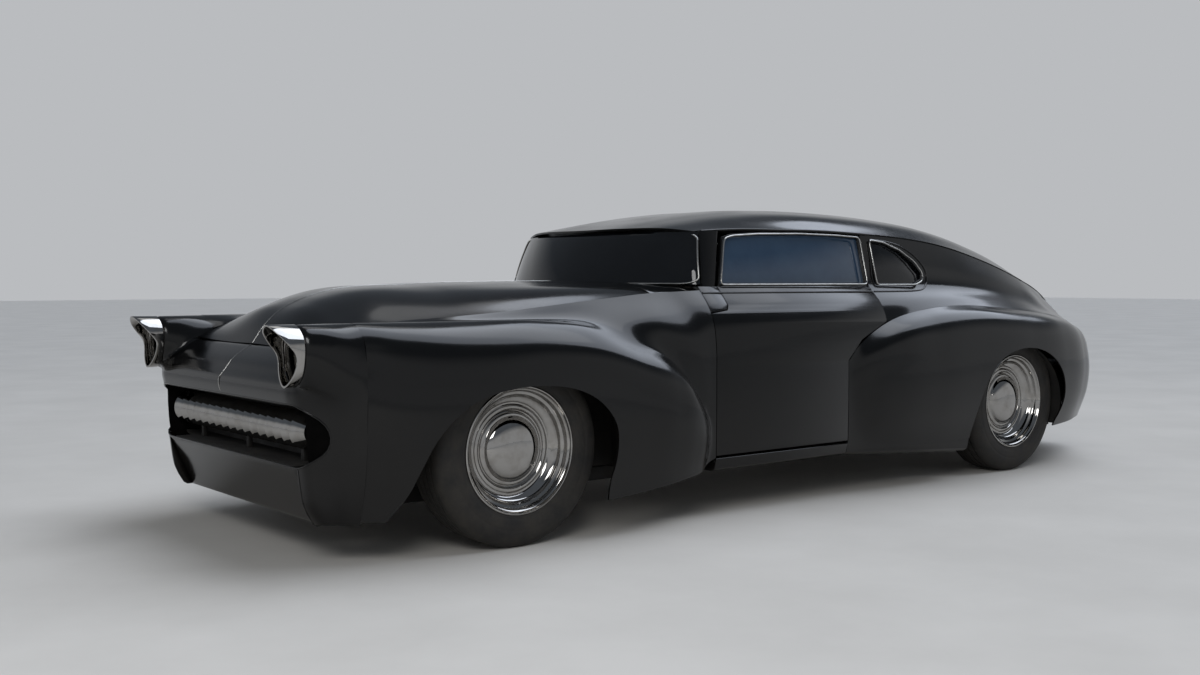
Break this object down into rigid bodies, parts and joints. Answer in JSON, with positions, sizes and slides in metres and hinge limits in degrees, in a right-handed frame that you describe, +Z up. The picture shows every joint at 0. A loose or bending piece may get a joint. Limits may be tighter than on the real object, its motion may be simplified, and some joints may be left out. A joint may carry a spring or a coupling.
{
  "type": "low custom fastback coupe",
  "caption": "Low, long-bonnet custom fastback car with shaved black body, faired wings, visored lamps and a mouth filled by a stack of conical chrome rings.",
  "frame": {"origin": "on the road, on the centreline, half way along the overall length", "axes": "+X rearward along the car, +Y to the car's right, +Z up"},
  "size_m": [5.4491, 1.8726, 1.3629],
  "materials": {
    "black_paint": "satin gloss",
    "chassis_black": "matt",
    "chrome": "polished",
    "bright_trim": "polished",
    "tinted_glass": "dark tint",
    "lamp_glass": "dark",
    "red_lens": "gloss",
    "seat_leather": "soft",
    "tyre": "matt",
    "engine_iron": "painted",
    "exhaust_steel": "dull",
    "dash_paint": "satin",
    "wheel_rim_plastic": "gloss"
  },
  "bodies": {
    "body": {"cowl": "black_paint", "cross_members": "chassis_black", "dashboard": "dash_paint", "engine": "engine_iron", "exhaust_pipes": "exhaust_steel", "firewall": "chassis_black", "floor": "chassis_black", "frame_rails": "chassis_black", "front_backrest": "seat_leather", "front_cushion": "seat_leather", "front_pan": "black_paint", "front_suspension": "chassis_black", "front_wing_left": "black_paint", "front_wing_right": "black_paint", "inner_panels": "chassis_black", "lamp_lenses": "lamp_glass", "lamp_pods": "black_paint", "lamp_rings": "chrome", "mouth_recess": "chassis_black", "nose_panel": "black_paint", "quarter_glass": "tinted_glass", "quarter_panel_left": "black_paint", "quarter_panel_right": "black_paint", "quarter_window_trim": "bright_trim", "rear_axle": "chassis_black", "rear_backrest": "seat_leather", "rear_cushion": "seat_leather", "rear_window": "tinted_glass", "rear_wing_left": "black_paint", "rear_wing_right": "black_paint", "ring_stack": "chrome", "rockers": "black_paint", "roof": "black_paint", "screen_pillars": "black_paint", "steering_column": "chassis_black", "tail_lamps": "red_lens", "tail_panel": "black_paint", "tail_sides": "black_paint", "windscreen": "tinted_glass"},
    "door_left": {"door_left": "black_paint", "door_glass_left": "tinted_glass", "door_window_trim_left": "bright_trim"},
    "door_right": {"door_right": "black_paint", "door_glass_right": "tinted_glass", "door_window_trim_right": "bright_trim"},
    "engine_lid": {"engine_lid": "black_paint"},
    "boot_lid": {"boot_lid": "black_paint"},
    "hub_front_left": {"knuckle_left": "chassis_black"},
    "hub_front_right": {"knuckle_right": "chassis_black"},
    "steering_wheel": {"steering_wheel": "wheel_rim_plastic"},
    "wheel_front_left": {"tyre_front_left": "tyre", "rim_front_left": "chrome"},
    "wheel_front_right": {"tyre_front_right": "tyre", "rim_front_right": "chrome"},
    "wheel_rear_left": {"tyre_rear_left": "tyre", "rim_rear_left": "chrome"},
    "wheel_rear_right": {"tyre_rear_right": "tyre", "rim_rear_right": "chrome"}
  },
  "joints": [
    {"name": "steer_left", "type": "hinge", "parent": "body", "child": "hub_front_left", "pos_m": [-1.771, -0.68, 0.372], "axis": [0, 0, 1], "range_deg": [-24, 24]},
    {"name": "steer_right", "type": "hinge", "parent": "body", "child": "hub_front_right", "pos_m": [-1.771, 0.68, 0.372], "axis": [0, 0, 1], "range_deg": [-24, 24]},
    {"name": "spin_front_left", "type": "hinge", "parent": "hub_front_left", "child": "wheel_front_left", "pos_m": [-1.771, -0.722, 0.372], "axis": [0, 1, 0], "continuous": true},
    {"name": "spin_front_right", "type": "hinge", "parent": "hub_front_right", "child": "wheel_front_right", "pos_m": [-1.771, 0.722, 0.372], "axis": [0, 1, 0], "continuous": true},
    {"name": "spin_rear_left", "type": "hinge", "parent": "body", "child": "wheel_rear_left", "pos_m": [1.429, -0.722, 0.372], "axis": [0, 1, 0], "continuous": true},
    {"name": "spin_rear_right", "type": "hinge", "parent": "body", "child": "wheel_rear_right", "pos_m": [1.429, 0.722, 0.372], "axis": [0, 1, 0], "continuous": true},
    {"name": "open_door_left", "type": "hinge", "parent": "body", "child": "door_left", "pos_m": [-0.765, -0.84, 0.6], "axis": [0, 0, -1], "range_deg": [0, 60]},
    {"name": "open_door_right", "type": "hinge", "parent": "body", "child": "door_right", "pos_m": [-0.765, 0.84, 0.6], "axis": [0, 0, 1], "range_deg": [0, 60]},
    {"name": "open_engine_lid", "type": "hinge", "parent": "body", "child": "engine_lid", "pos_m": [-1.025, 0, 1.018], "axis": [0, 1, 0], "range_deg": [0, 50]},
    {"name": "open_boot_lid", "type": "hinge", "parent": "body", "child": "boot_lid", "pos_m": [1.95, 0, 1.112], "axis": [0, -1, 0], "range_deg": [0, 50]},
    {"name": "turn_steering_wheel", "type": "hinge", "parent": "body", "child": "steering_wheel", "pos_m": [-0.441, -0.36, 0.8], "axis": [0.9261, 0, 0.3773], "range_deg": [-360, 360]}
  ],
  "couplings": [
    {"joint": "steer_right", "follows": "steer_left", "ratio": 1},
    {"joint": "turn_steering_wheel", "follows": "steer_left", "ratio": 15}
  ]
}
